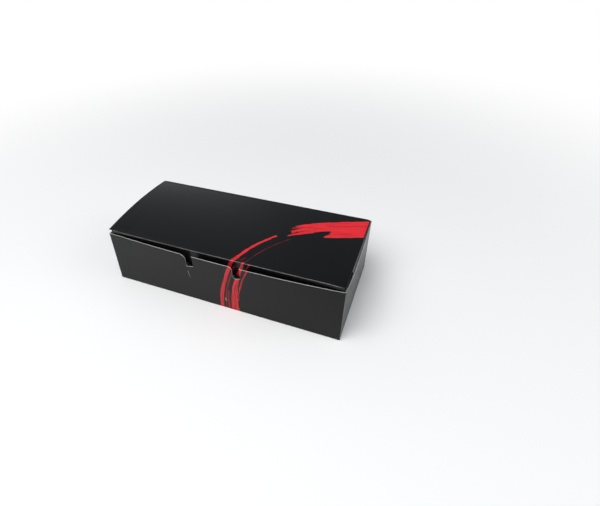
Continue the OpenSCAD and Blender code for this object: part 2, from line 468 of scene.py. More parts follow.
def fold_wear(graph: Graph, entry: Node) -> Sockets:
    """Adds the pale cracks that the print gets along a fold, and a thin pale line along the fold's middle
    that is partly worn ink and partly a painted highlight of the fold.

    Args:
        graph: the group's graph.
        entry: its input node, with Vector, Crease, Amount, and the strength of the pale line along the fold's
            middle, which is worn ink and painted highlight.

    Returns:
        Mask, 1 where the pale core shows through the cracks, and where the line of wear and painted highlight
        lies.
    """
    get = entry.outputs
    flecks = graph.noise(get["Vector"], 2100, 4, 0.7)
    patches = graph.noise(get["Vector"], 150, 3, 0.6)
    half_crease = graph.times(get["Crease"], 0.5)
    level = graph.times(graph.plus(flecks, patches), half_crease)
    cracks = graph.times(graph.ramp(level, 0.44, 0.66), get["Amount"])
    # A thin pale line along the fold's middle: worn ink, and a painted highlight where the fold would catch
    # the light
    rub_and_highlight_patches = graph.ramp(patches, 0.2, 0.6, (0.3, 1.0))
    line = graph.times(graph.ramp(get["Crease"], 0.84, 0.96), rub_and_highlight_patches)
    return {"Mask": graph.math("MAXIMUM", cracks, graph.times(line, get["Rub and highlight"]))}


def scuff(graph: Graph, entry: Node) -> Sockets:
    """Adds a short mark on the printed sheet, along a straight line with frayed sides.

    Args:
        graph: the group's graph.
        entry: its input node, with Vector, the ends From and To, Width and Fray, all
            in print millimetres.

    Returns:
        Mask, 1 on the mark.
    """
    get = entry.outputs
    off = graph.vector("SUBTRACT", get["Vector"], get["From"]).outputs[0]
    run = graph.vector("SUBTRACT", get["To"], get["From"]).outputs[0]
    share = graph.math("DIVIDE", graph.vector("DOT_PRODUCT", off, run).outputs["Value"],
        graph.vector("DOT_PRODUCT", run, run).outputs["Value"], clamp=True)
    gap = graph.vector("DISTANCE", off, graph.scaled(run, share)).outputs["Value"]
    rough = graph.minus(graph.noise(get["Vector"], 2.6, 3, 0.6), 0.5)
    fray = graph.times(rough, get["Fray"])
    reach = graph.plus(graph.times(get["Width"], 0.5), fray)
    return {"Mask": graph.ramp(graph.minus(reach, gap), -0.08, 0.08)}


@dataclass(frozen=True)
class Strand:
    """One strand of the brush arc: angles in degrees, radii and widths in millimetres, ink from 0 to 1."""

    angles: tuple[float, float]
    radii: tuple[float, float]
    widths: tuple[float, float]
    fray: tuple[float, float] = (0.8, 0.8)
    tail: float = 0.0
    dry: float = 0.0
    ink: float = 1.0


@dataclass(frozen=True)
class BrushArc:
    """The red brush arc that is printed across the lid and the front wall."""

    centre: Point = (90.0, -75.0)
    radius: float = 89.0
    strands: tuple[Strand, ...] = (
        Strand((94, 104.5), (11.05, 7.45), (18.5, 17.4), (0.5, 0.5)),
        Strand((103.5, 111.0), (7.7, 6.6), (17.7, 16.2), (0.5, 0.7), 1.3),
        Strand((108, 113.6), (1.4, -0.85), (5.8, 1.4), (0.6, 0.7), 1.0, 0.1),
        Strand((110, 122.5), (10.3, 8.2), (9.9, 9.4), (0.7, 1.5), 2.5, 0.25),
        Strand((119, 124.6), (12.0, 10.9), (3.4, 1.3), (0.7, 1.0), 1.2, 0.4),
        Strand((119, 125.2), (8.6, 7.4), (4.2, 2.4), (0.9, 1.3), 1.5, 0.25),
        Strand((117, 127.5), (5.3, 4.0), (3.6, 0.9), (0.6, 0.7), 0.8, 0.2),
        Strand((131.2, 150), (6.2, 0.3), (1.6, 2.1), (0.7, 0.5), 0.6, 0.1, 0.9),
        Strand((149.8, 161), (0.2, -0.7), (2.2, 2.2), (0.5, 0.6), 0.0, 0.1, 0.72),
        Strand((161, 190), (-0.7, -0.7), (2.2, 2.6), (0.6, 0.9), 0.0, 0.15, 0.72),
        Strand((127.5, 151), (0.2, -7.0), (0.26, 0.46), (0.35, 0.5), 2.0, 0.4, 0.28),
        Strand((148, 156), (-3.4, -4.0), (0.6, 0.7), (0.6, 0.6), 2.0, 0.2, 0.25),
        Strand((155, 182), (-3.2, -3.8), (0.9, 0.9), (0.6, 0.7), 3.0, 0.2, 0.28),
        Strand((168, 190), (-4.8, -6.6), (0.6, 3.2), (1.0, 2.6), 2.0, 0.4, 0.3),
        Strand((150, 168), (-6.2, -9.0), (1.3, 4.0), (0.6, 1.0), 2.5, 0.35, 0.8),
        Strand((166, 190), (-9.0, -10.7), (3.4, 7.0), (0.9, 1.6), 2.0, 0.48, 0.8),
        Strand((149.5, 172), (-9.7, -11.9), (0.9, 0.9), (0.5, 0.8), 2.0, 0.2, 0.5),
    )
    # Darker streaks within the ink
    streaks: tuple[Strand, ...] = (
        Strand((94, 104), (14.8, 11.3), (1.0, 1.5), (0.6, 1.2), 1.0, 0.1, 0.8),
        Strand((104, 111), (11.3, 10.5), (1.5, 1.0), (1.2, 1.4), 3.0, 0.2, 0.7),
        Strand((113.4, 116.8), (8.2, 8.4), (0.7, 0.5), (0.7, 0.7), 1.5, 0.1, 0.9),
        Strand((121, 124.5), (9.8, 9.4), (0.7, 0.9), (0.6, 0.8), 1.5, 0.0, 1.0),
        Strand((162, 190), (-9.2, -10.6), (0.4, 0.7), (0.6, 0.9), 3.0, 0.2, 0.8),
        Strand((170, 190), (-7.8, -8.6), (0.4, 0.6), (0.6, 0.9), 3.0, 0.2, 0.6),
    )
    # The ink stops short of the lid's right edge, at this place along the sheet
    stop: float = 76.8

    def mask(self, graph: Graph, kit: "Finishes") -> tuple[Socket, Socket]:
        """Adds the whole arc to a material.

        Args:
            graph: the material's graph.
            kit: the shared groups.

        Returns:
            The ink's mask, and the mask of the darker streaks in it.
        """
        sheet = graph.node("ShaderNodeUVMap", uv_map="print").outputs[0]
        place = graph.group(kit.arc_place, {"Vector": sheet, "Centre X": self.centre[0],
            "Centre Y": self.centre[1], "Stop": self.stop})
        shared = {name: place.outputs[name] for name in ("Radius", "Angle", "Bristle", "Hairs")}

        def together(strands: Sequence[Strand]) -> Socket:
            """Returns the mask of several strands.

            Args:
                strands: the strands.

            Returns:
                The strongest mask at each place.
            """
            total: object = 0.0
            for strand in strands:
                part = graph.group(kit.strand, {**shared, "From": strand.angles[0],
                    "To": strand.angles[1], "Radius from": self.radius + strand.radii[0],
                    "Radius to": self.radius + strand.radii[1], "Width from": strand.widths[0],
                    "Width to": strand.widths[1], "Fray from": strand.fray[0], "Fray to": strand.fray[1],
                    "Tail": strand.tail, "Dry": strand.dry, "Ink": strand.ink})
                total = graph.math("MAXIMUM", total, part.outputs[0])
            return total

        ink = graph.times(together(self.strands), place.outputs["Within"])
        fine = graph.ramp(place.outputs["Hairs"], 0.5, 0.12)
        return ink, graph.math("MAXIMUM", fine, together(self.streaks))


@dataclass(frozen=True)
class Mark:
    """A small worn mark on the print, in print millimetres."""

    start: Point
    end: Point
    width: float
    fray: float
    colour: Colour
    strength: float

    def lay(self, graph: Graph, kit: "Finishes", colour: object) -> Socket:
        """Returns the colour with the mark laid over it.

        Args:
            graph: the material's graph.
            kit: the shared groups.
            colour: the colour under the mark.

        Returns:
            The new colour.
        """
        sheet = graph.node("ShaderNodeUVMap", uv_map="print").outputs[0]
        place = graph.scaled(sheet, PRINT_UNIT / MM)
        part = graph.group(kit.scuff, {"Vector": place, "From": (*self.start, 0.0),
            "To": (*self.end, 0.0), "Width": self.width, "Fray": self.fray})
        share = graph.times(part.outputs[0], self.strength)
        return graph.tint(share, colour, (*self.colour, 1.0))


@dataclass(frozen=True)
class Finish:
    """A surface of the board: its colour, gloss and grain."""

    name: str
    colour: Colour
    roughness: tuple[float, float]
    tooth: float
    waves: float
    mottle: float = 0.3
    wear: float = 0.0
    # Strength of the thin pale line along a fold's middle: worn ink and a painted highlight of the fold
    rub_and_highlight: float = 0.0
    printed: bool = False
    specular: float = 0.21

    def material(self, kit: "Finishes") -> bpy.types.Material:
        """Builds the material.

        Args:
            kit: the shared groups and inks.

        Returns:
            The finished material.
        """
        made = bpy.data.materials.new(self.name)
        made.use_nodes = True
        graph = Graph(made.node_tree)
        shader = made.node_tree.nodes["Principled BSDF"]
        place = graph.node("ShaderNodeTexCoord").outputs["Object"]
        grain = graph.group(kit.grain, {"Vector": place, "Tooth": self.tooth, "Waves": self.waves})
        mottle = grain.outputs["Mottle"]
        shade = tuple(MOTTLE_SHADE * channel for channel in self.colour)
        colour: object = (*self.colour, 1.0)
        colour = graph.tint(graph.times(mottle, self.mottle), colour, (*shade, 1.0))
        if self.printed:
            ink, streaks = kit.arc.mask(graph, kit)
            red = graph.tint(streaks, (*kit.red, 1.0), (*kit.deep_red, 1.0))
            colour = graph.tint(ink, colour, red)
            for mark in kit.marks:
                colour = mark.lay(graph, kit, colour)
        if self.wear:
            crease = graph.node("ShaderNodeAttribute", attribute_name="crease").outputs["Fac"]
            worn = graph.group(kit.wear, {"Vector": place, "Crease": crease, "Amount": self.wear,
                "Rub and highlight": self.rub_and_highlight})
            colour = graph.tint(worn.outputs["Mask"], colour, (*kit.core, 1.0))
        graph.feed(shader.inputs["Base Color"], colour)
        graph.feed(shader.inputs["Roughness"], graph.blend(mottle, *self.roughness))
        shader.inputs["Specular IOR Level"].default_value = self.specular
        bump = graph.node("ShaderNodeBump", {"Height": grain.outputs["Height"], "Strength": 1.0,
            "Distance": MM})
        graph.feed(shader.inputs["Normal"], bump.outputs[0])
        return made


class Finishes:
    """The shared node groups and the materials made from them."""

    def __init__(self) -> None:
        """Builds the groups, then one material for each side of the board."""
        number, vector = "NodeSocketFloat", "NodeSocketVector"
        self.core = srgb(222, 219, 210)
        self.red = srgb(234, 46, 55)
        self.deep_red = srgb(192, 28, 40)
        self.arc = BrushArc()
        self.marks = (
            Mark((-19.6, -48.7), (-19.35, -52.1), 0.4, 0.3, srgb(150, 148, 142), 0.6),
            Mark((-19.35, -52.1), (-18.96, -54.5), 0.3, 0.3, srgb(150, 148, 142), 0.5),
            Mark((4.6, -64.9), (4.9, -67.1), 0.9, 0.7, srgb(150, 126, 104), 0.85),
        )
        place = {"Vector": (vector, None)}
        strand_names = ("Radius", "Angle", "Bristle", "From", "To", "Radius from", "Radius to", "Width from",
            "Width to", "Fray from", "Fray to", "Tail", "Hairs", "Dry", "Ink")
        self.grain = node_group("board_grain", {**place, "Tooth": (number, 0.01), "Waves": (number, 0.1)},
            {"Height": number, "Mottle": number}, board_grain)
        self.arc_place = node_group("arc_place",
            {**place, "Centre X": (number, 0.0), "Centre Y": (number, 0.0), "Stop": (number, 0.0)},
            {name: number for name in ("Radius", "Angle", "Bristle", "Hairs", "Within")}, arc_place)
        self.strand = node_group("brush_strand", {name: (number, 0.0) for name in strand_names},
            {"Mask": number}, brush_strand)
        self.wear = node_group("fold_wear",
            {**place, "Crease": (number, 0.0), "Amount": (number, 1.0), "Rub and highlight": (number, 0.0)},
            {"Mask": number}, fold_wear)
        self.scuff = node_group("scuff", {**place, "From": (vector, None), "To": (vector, None),
            "Width": (number, 0.3), "Fray": (number, 0.0)}, {"Mask": number}, scuff)
        self.sides = {
            # The printed side gets the pale fold line, which is worn ink and a painted highlight
            Face.PRINTED: Finish("black_print", srgb(14, 14, 16), (0.30, 0.34), 0.002, 0.06,
                wear=0.35, rub_and_highlight=0.4, printed=True),
            Face.BARE: Finish("bare_board", srgb(226, 223, 215), (0.6, 0.75), 0.012, 0.08,
                mottle=0.1, wear=0.25),
            Face.CUT: Finish("cut_board", srgb(176, 175, 171), (0.75, 0.9), 0.03, 0.0),
        }
        self.made = {side: finish.material(self) for side, finish in self.sides.items()}

    def dress(self, mesh: bpy.types.Mesh) -> None:
        """Gives a mesh the three materials, in the order of Face."""
        for side in Face:
            mesh.materials.append(self.made[side])


def inside(points: np.ndarray, outline: np.ndarray) -> np.ndarray:
    """Tells which points lie inside a closed outline.

    Args:
        points: the points, one a row.
        outline: the outline's corners, one a row.

    Returns:
        True for each point that lies inside.
    """
    x, y = points[:, :1], points[:, 1:]
    x0, y0 = outline[:, 0], outline[:, 1]
    x1, y1 = np.roll(x0, -1), np.roll(y0, -1)
    spans = (y0 > y) != (y1 > y)
    rise = np.where(y1 == y0, 1.0, y1 - y0)
    crossing = spans & (x < (x1 - x0) * (y - y0) / rise + x0)
    return crossing.sum(axis=1) % 2 == 1


def edge_distance(points: np.ndarray, outline: np.ndarray) -> np.ndarray:
    """Returns each point's distance from a closed outline.

    Args:
        points: the points, one a row.
        outline: the outline's corners, one a row.

    Returns:
        The distances.
    """
    start, run = outline, np.roll(outline, -1, axis=0) - outline
    length = np.maximum((run ** 2).sum(axis=1), 1e-18)
    best = np.full(len(points), np.inf)
    for a, d, size in zip(start, run, length):
        share = np.clip(((points - a) @ d) / size, 0, 1)
        best = np.minimum(best, np.hypot(*(points - a - share[:, None] * d).T))
    return best


@dataclass
class Blank:
    """A die-cut sheet laid flat, and the fold that gives it its shape.

    The flat sheet's coordinates are in metres. fold takes a flat place and a depth
    below the printed face, and returns the place in space.
    """

    name: str
    outline: list[Point]
    u_lines: list[float]
    v_lines: list[float]
    fold: Fold
    crease: Callable[[float, float], float]
    print_place: Callable[[float, float], Point]
    printed_up: bool
    board: Board = field(default_factory=Board)
    # How close two corners of the outline, and a grid point and the outline, may come
    corner_gap: float = 0.02 * MM
    rim_gap: float = 0.12 * MM

    def ring(self) -> np.ndarray:
        """Returns the outline with a corner wherever it crosses a grid line.

        Returns:
            The outline's corners, one a row.
        """
        made: list[Point] = []
        for (u0, v0), (u1, v1) in zip(self.outline, self.outline[1:] + self.outline[:1]):
            shares = {0.0}
            for lines, a, b in ((self.u_lines, u0, u1), (self.v_lines, v0, v1)):
                if abs(b - a) > 1e-9:
                    shares.update((line - a) / (b - a) for line in lines)
            kept = sorted(s for s in shares if 0 <= s < 1 - 1e-6)
            for share in kept:
                place = (mix(u0, u1, share), mix(v0, v1, share))
                if not made or math.dist(place, made[-1]) > self.corner_gap:
                    made.append(place)
        return np.array(made)

    def cells(self) -> tuple[np.ndarray, list[tuple[int, int, int]]]:
        """Triangulates the flat sheet along its grid lines.

        Returns:
            The flat corners, one a row, and the triangles, anticlockwise.
        """
        ring = self.ring()
        grid = np.array([(u, v) for u in self.u_lines for v in self.v_lines])
        keep = inside(grid, ring)
        keep[keep] &= edge_distance(grid[keep], ring) > self.rim_gap
        number = np.full(len(grid), -1)
        number[keep] = np.arange(keep.sum()) + len(ring)
        number = number.reshape(len(self.u_lines), len(self.v_lines))
        across = np.stack([number[:-1].ravel(), number[1:].ravel()], 1)
        upward = np.stack([number[:, :-1].ravel(), number[:, 1:].ravel()], 1)
        links = np.concatenate([across, upward])
        links = links[(links >= 0).all(axis=1)]
        corners = np.concatenate([ring, grid[keep]])
        links = links[inside(corners[links].mean(axis=1), ring)]
        loop = list(range(len(ring)))
        found = delaunay_2d_cdt([Vector(c) for c in corners.tolist()], links.tolist(), [loop], 1, 1e-9)
        flat = np.array([tuple(v) for v in found[0]])
        triangles = []
        for a, b, c in found[2]:
            area = np.cross(flat[b] - flat[a], flat[c] - flat[a])
            if abs(area) > 1e-13:
                triangles.append((a, b, c) if area > 0 else (a, c, b))
        return flat, triangles

    def mesh(self) -> bpy.types.Mesh:
        """Folds the sheet into a closed mesh with a printed, a bare and a cut face.

        Returns:
            The mesh, with its print coordinates, creases and normals.
        """
        flat, triangles = self.cells()
        step = 0.01 * MM
        outer = np.array([self.fold(u, v, 0.0) for u, v in flat])
        inner = np.array([self.fold(u, v, self.board.thick) for u, v in flat])
        slope_u = np.array([self.fold(u + step, v, 0.0) - self.fold(u - step, v, 0.0) for u, v in flat])
        slope_v = np.array([self.fold(u, v + step, 0.0) - self.fold(u, v - step, 0.0) for u, v in flat])
        upward = np.cross(slope_u, slope_v)
        upward /= np.maximum(np.linalg.norm(upward, axis=1), 1e-18)[:, None]
        facing = 1.0 if self.printed_up else -1.0
        count = len(flat)
        used = {(a, b) for t in triangles for a, b in zip(t, t[1:] + t[:1])}
        rim = [(a, b) for a, b in used if (b, a) not in used]
        turn = (lambda face: face) if self.printed_up else (lambda face: face[::-1])
        faces = [turn(t) for t in triangles]
        faces += [turn(tuple(count + i for i in reversed(t))) for t in triangles]
        faces += [turn((b, a, a + count, b + count)) for a, b in sorted(rim)]
        mesh = bpy.data.meshes.new(self.name)
        mesh.from_pydata(np.concatenate([outer, inner]).tolist(), [], faces)
        counts = {Face.PRINTED: len(triangles), Face.BARE: len(triangles), Face.CUT: len(rim)}
        sides = [side.value for side, number in counts.items() for _ in range(number)]
        mesh.polygons.foreach_set("material_index", sides)
        mesh.polygons.foreach_set("use_smooth", [True] * len(faces))
        print_map = mesh.uv_layers.new(name="print")
        places = np.array([self.print_place(u, v) for u, v in flat]) / PRINT_UNIT
        crease = mesh.attributes.new("crease", "FLOAT", "POINT")
        creases = [self.crease(u, v) for u, v in flat]
        crease.data.foreach_set("value", creases + creases)
        normals: list[Vector] = []
        for polygon in mesh.polygons:
            for index, vertex in zip(polygon.loop_indices, polygon.vertices):
                print_map.data[index].uv = places[vertex % count]
                if polygon.material_index == Face.CUT.value:
                    normals.append(polygon.normal.copy())
                else:
                    sign = facing if vertex < count else -facing
                    normals.append(Vector(upward[vertex % count] * sign))
        mesh.normals_split_custom_set(normals)
        return mesh


def place_piece(mesh: bpy.types.Mesh, name: str) -> bpy.types.Object:
    """Returns a new object at the origin that shows the mesh.

    Args:
        mesh: the mesh that it shows.
        name: its name.

    Returns:
        The object.
    """
    piece = bpy.data.objects.new(name, mesh)
    bpy.context.scene.collection.objects.link(piece)
    return piece


def fold_band(start: float, length: float) -> list[float]:
    """Returns the grid lines across a fold."""
    steps = 6
    return [mix(start, start + length, i / steps) for i in range(steps + 1)]


def crest(value: float, start: float, length: float) -> float:
    """Returns 1 at the middle of a fold and 0 past its two sides."""
    return max(0.0, 1 - abs(value - start - length / 2) / (CREST_REACH * length))


def distinct(values: Sequence[float]) -> list[float]:
    """Returns the values, sorted, with near doubles dropped.

    Args:
        values: the values.

    Returns:
        The sorted values that are left.
    """
    made: list[float] = []
    for value in sorted(values):
        if not made or value - made[-1] > LINE_GAP:
            made.append(value)
    return made


def both_ways(values: Sequence[float]) -> list[float]:
    """Returns the distinct ones of the values and their negatives."""
    return distinct([*values, *(-v for v in values)])


@dataclass
class Tray:
    """The tray: floor, four walls and four glue flaps, folded from one sheet."""

    sizes: TraySizes
    board: Board = field(default_factory=Board)
    grid: float = 3 * MM
    # The corner folds stand out as far as the end walls, and step in behind them
    step_l: float = 0.8 * MM
    glue_gap: float = 0.02 * MM
    flap_gap: float = 0.1 * MM
    corner_cut: float = 0.05 * MM

    def bow(self, share: float, height: float, amount: float) -> float:
        """Returns how far a wall bows out.

        Args:
            share: place along the wall, 0 where it bows most and 1 or -1 at its corners.
            height: height above the floor.
            amount: the full bow, at the top.

        Returns:
            The distance outwards.
        """
        rise = max(0.0, height - self.board.fold_r) / (self.sizes.wall_h - self.board.fold_r)
        return amount * max(0.0, 1 - share * share) * rise ** self.sizes.bow_rise

    def lean(self, end: float, height: float) -> float:
        """Returns how far the corners at one end lean out at a height."""
        full = self.sizes.lean[0 if end < 0 else 1]
        return full * (self.bow(0.0, height, 1.0) if height > 0 else 0.0)

    def end_bow(self, end: float, y: float, height: float) -> float:
        """Returns how far an end wall stands out, with its lean and its bow.

        Args:
            end: -1 for the left end, 1 for the right one.
            y: place along the wall.
            height: height above the floor.

        Returns:
            The distance outwards.
        """
        s = self.sizes
        off = y - s.bow_y
        share = off / (s.half_w - math.copysign(1.0, off) * s.bow_y)
        lean = self.lean(end, height)
        return lean + self.bow(share, height, s.end_bow - s.lean[0 if end < 0 else 1])

    def flap_limit(self, end: float, y: float, height: float) -> float:
        """Returns how far out a side flap of the lid reaches, just inside its end wall."""
        return self.sizes.half_l + self.end_bow(end, y, height) - self.board.thick - self.flap_gap

    def dip(self, x: float, height: float) -> float:
        """Returns how far down the front wall sinks at a place and height.

        Args:
            x: place along the wall.
            height: height above the floor.

        Returns:
            The distance down.
        """
        s = self.sizes
        middle = max(0.0, 1 - ((x - s.dip_x) / s.dip_x) ** 2)
        left = max(0.0, (-x - s.left_dip_x) / s.left_dip_l) ** 2
        return s.dip_h * (middle + left) * height / s.wall_h

    @property
    def floor_l(self) -> float:
        """Half the floor's length, between the end walls' folds."""
        return self.sizes.half_l - self.board.fold_r

    @property
    def floor_w(self) -> float:
        """Half the floor's width, between the long walls' folds."""
        return self.sizes.half_w - self.board.fold_r

    @property
    def front_half(self) -> float:
        """Half the front wall's length, between its corner folds."""
        return self.sizes.half_l - self.board.fold_r

    @property
    def wall_end(self) -> float:
        """Distance from the floor's middle to a long wall's top edge on the flat sheet."""
        return self.floor_w + self.board.arc_l + self.sizes.wall_h - self.board.fold_r

    def fold(self, u: float, v: float, depth: float) -> Vector:
        """Folds the flat sheet.

        Args:
            u: place along the box.
            v: place across it.
            depth: depth below the printed face.

        Returns:
            The place in space.
        """
        r, arc_l, half_w = self.board.fold_r, self.board.arc_l, self.sizes.half_w
        inner = r - depth
        if abs(v) > self.floor_w + 1e-9:
            out = abs(v) - self.floor_w
            side = math.copysign(1.0, v)
            if out < arc_l:
                turn = out / r
                return Vector((u, side * (self.floor_w + inner * math.sin(turn)), r - inner * math.cos(turn)))
            z = r + out - arc_l
            past = abs(u) - self.front_half
            end = math.copysign(1.0, u)
            lean = self.lean(end, z)
            if past <= 0:
                bow = self.bow(u / self.front_half, z, self.sizes.front_bow if v < 0 else 0.0)
                high = z - (self.dip(u, z) if v < 0 else 0.0)
                return Vector((u * (1 + lean / self.front_half), side * (half_w - depth + bow), high))
            if past < arc_l:
                turn = past / r
                high = z - (self.dip(end * self.front_half, z) * (1 - past / arc_l) if v < 0 else 0.0)
                return Vector((end * (self.front_half + lean + inner * math.sin(turn)),
                    side * (half_w - r + inner * math.cos(turn)), high))
            y = half_w - r - (past - arc_l)
            bow = self.end_bow(end, side * y, z)
            share = min(1.0, (past - arc_l) / self.step_l)
            step = (self.board.thick + self.glue_gap) * share * share * (3 - 2 * share)
            return Vector((end * (self.sizes.half_l - step - depth + bow), side * y, z))
        out = abs(u) - self.floor_l
        if out <= 0:
            return Vector((u, v, depth))
        end = math.copysign(1.0, u)
        if out < arc_l:
            turn = out / r
            return Vector((end * (self.floor_l + inner * math.sin(turn)), v, r - inner * math.cos(turn)))
        z = r + out - arc_l
        return Vector((end * (self.sizes.half_l - depth + self.end_bow(end, v, z)), v, z))

    @property
    def end_y(self) -> float:
        """Half the width of an end wall, which ends at the corner folds' inner sides."""
        return self.sizes.half_w - self.board.fold_r - self.step_l + 0.1 * MM

    def notch(self, index: int) -> list[Point]:
        """Returns one notch's outline from left to right, in flat coordinates.

        Args:
            index: which notch, 0 or 1 from the left.

        Returns:
            The outline's points.
        """
        s = self.sizes
        right, radius, foot = s.notch_x[index], s.shoulder_r[index], s.foot_r[index]
        left = right - s.notch_w
        floor = s.wall_h - s.notch_h
        shape = arc((left - radius, s.wall_h - radius), radius, 90, 0, 10)
        shape += arc((left + foot, floor + foot), foot, 180, 255, 6)
        shape += [(right, floor + s.notch_rise), (right, s.wall_h)]
        return [(x, z - s.wall_h) for x, z in shape]

    def quarter(self) -> list[Point]:
        """Returns the flat outline of one corner, from a long wall's top to an end wall's.

        Returns:
            The outline's points.
        """
        s, r, arc_l = self.sizes, self.board.fold_r, self.board.arc_l
        foot = self.floor_w + arc_l
        root = self.front_half + arc_l
        relief = self.board.thick

        def flap(distance: float) -> tuple[float, float]:
            """Returns the lower and upper place of the glue flap at a distance from its fold."""
            taper = distance * math.tan(s.glue_taper)
            return foot + relief + taper, foot + s.wall_h - r - s.glue_drop - taper

        low_0, high_0 = flap(relief)
        low_1, high_1 = flap(s.glue_l)
        end_y = self.end_y
        return [(self.front_half, self.wall_end), (root, self.wall_end), (root, high_0 + relief),
            (root + relief, high_0), (root + s.glue_l, high_1), (root + s.glue_l, low_1),
            (root + relief, low_0), (root, foot), (self.front_half, foot), (self.front_half, self.floor_w),
            (self.floor_l, self.floor_w - self.corner_cut), (self.floor_l, end_y),
            (self.floor_l + arc_l, end_y),
            (self.floor_l + arc_l + s.wall_h - s.end_drop - r, end_y)]

    def outline(self) -> list[Point]:
        """Returns the whole flat outline, anticlockwise.

        Returns:
            The outline's points.
        """
        corner = self.quarter()
        right_back = corner[::-1]
        left_back = [(-u, v) for u, v in corner]
        left_front = [(-u, -v) for u, v in reversed(corner)]
        right_front = [(u, -v) for u, v in corner]
        notches: list[Point] = []
        for index in (0, 1):
            notches += [(x, -self.wall_end - drop) for x, drop in self.notch(index)]
        return left_front + notches + right_front + right_back + left_back

    def crease(self, u: float, v: float) -> float:
        """Returns how close a flat place is to a fold.

        Args:
            u: place along the box.
            v: place across it.

        Returns:
            The closeness, from 0 to 1.
        """
        arc_l = self.board.arc_l
        best = 0.0
        if abs(u) <= self.floor_l:
            best = max(best, 0.8 * crest(abs(v), self.floor_w, arc_l))
        if abs(v) <= self.sizes.half_w:
            best = max(best, 0.8 * crest(abs(u), self.floor_l, arc_l))
        else:
            best = max(best, 0.62 * crest(abs(u), self.front_half, arc_l))
        return best

    def print_place(self, u: float, v: float) -> Point:
        """Returns a flat place's print coordinates, far from the print off the front wall.

        Args:
            u: place along the box.
            v: place across it.

        Returns:
            The place on the printed sheet.
        """
        if v < -self.floor_w and abs(u) < self.front_half + self.board.arc_l:
            return u, -self.sizes.half_w - self.wall_end - v
        return OFF_PRINT, OFF_PRINT

    def build(self, finishes: Finishes) -> bpy.types.Object:
        """Builds and dresses the tray.

        Args:
            finishes: the board's materials.

        Returns:
            The tray's object, riding on its body.
        """
        arc_l = self.board.arc_l
        u_lines = both_ways([*spaced(0, self.front_half, self.grid), *fold_band(self.front_half, arc_l),
            *fold_band(self.floor_l, arc_l),
            *spaced(self.front_half + arc_l, self.floor_l + arc_l + self.sizes.wall_h, self.grid)])
        v_lines = both_ways([*spaced(0, self.floor_w, self.grid), *fold_band(self.floor_w, arc_l),
            *spaced(self.floor_w + arc_l, self.wall_end, self.grid)])
        blank = Blank("tray_sheet", self.outline(), u_lines, v_lines, self.fold, self.crease,
            self.print_place, False)
        mesh = blank.mesh()
        finishes.dress(mesh)
        piece = place_piece(mesh, "tray_sheet")
        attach(piece, "base")
        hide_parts("tray", "front_print")
        log.info("tray_sheet: %d faces", len(mesh.polygons))
        return piece


